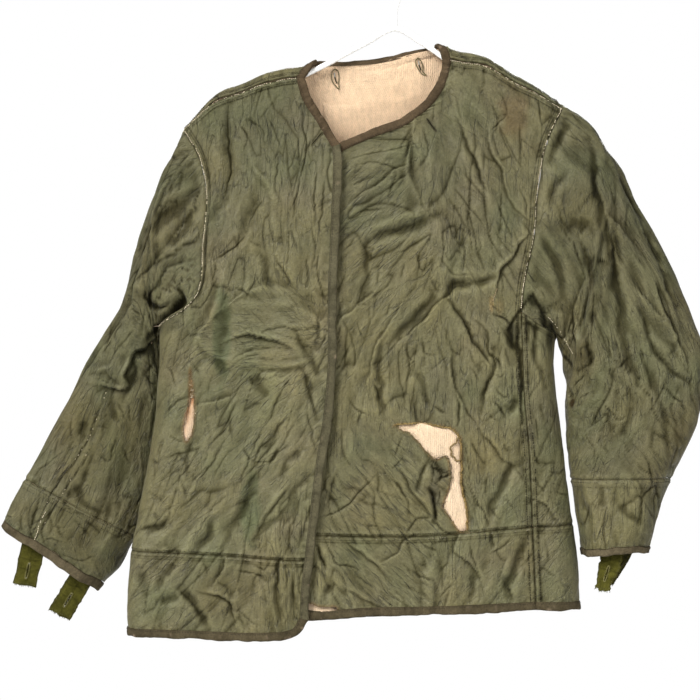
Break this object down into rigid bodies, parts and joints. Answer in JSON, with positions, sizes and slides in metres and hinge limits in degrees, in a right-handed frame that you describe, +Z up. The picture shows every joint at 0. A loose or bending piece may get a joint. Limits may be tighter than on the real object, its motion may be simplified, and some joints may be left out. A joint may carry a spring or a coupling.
{
  "type": "field jacket liner on hanger",
  "caption": "Collarless field jacket liner in worn olive nylon over cream pile, with taped edges, torn fronts and buttonhole tabs at the cuffs, hung on a white hanger.",
  "frame": {"origin": "where the hanger's hook hangs, inside the top of its bend", "axes": "+X to the viewer's right of the garment's front, +Y from its front to its back, +Z up"},
  "size_m": [0.9185, 0.1178, 0.8862],
  "materials": {
    "shell": "thin crinkled nylon with a soft sheen",
    "lining": "napped pile knit",
    "binding": "woven tape",
    "tab": "cotton twill",
    "hanger": "smooth white plastic"
  },
  "bodies": {
    "root": {"right_front": "shell", "left_front": "shell", "back": "shell", "right_front_band": "shell", "left_front_band": "shell", "back_band": "shell", "right_sleeve": "shell", "left_sleeve": "shell", "right_sleeve_end": "shell", "left_sleeve_end": "shell", "right_front_lining": "lining", "left_front_lining": "lining", "back_lining": "lining", "neck_binding": "binding", "right_front_binding": "binding", "left_front_binding": "binding", "hem_binding": "binding", "right_cuff_binding": "binding", "left_cuff_binding": "binding", "right_cuff_tab_outer": "tab", "right_cuff_tab_inner": "tab", "left_cuff_tab_front": "tab", "left_cuff_tab_back": "tab", "hanger_arms": "hanger", "hanger_hook": "hanger"}
  },
  "joints": []
}
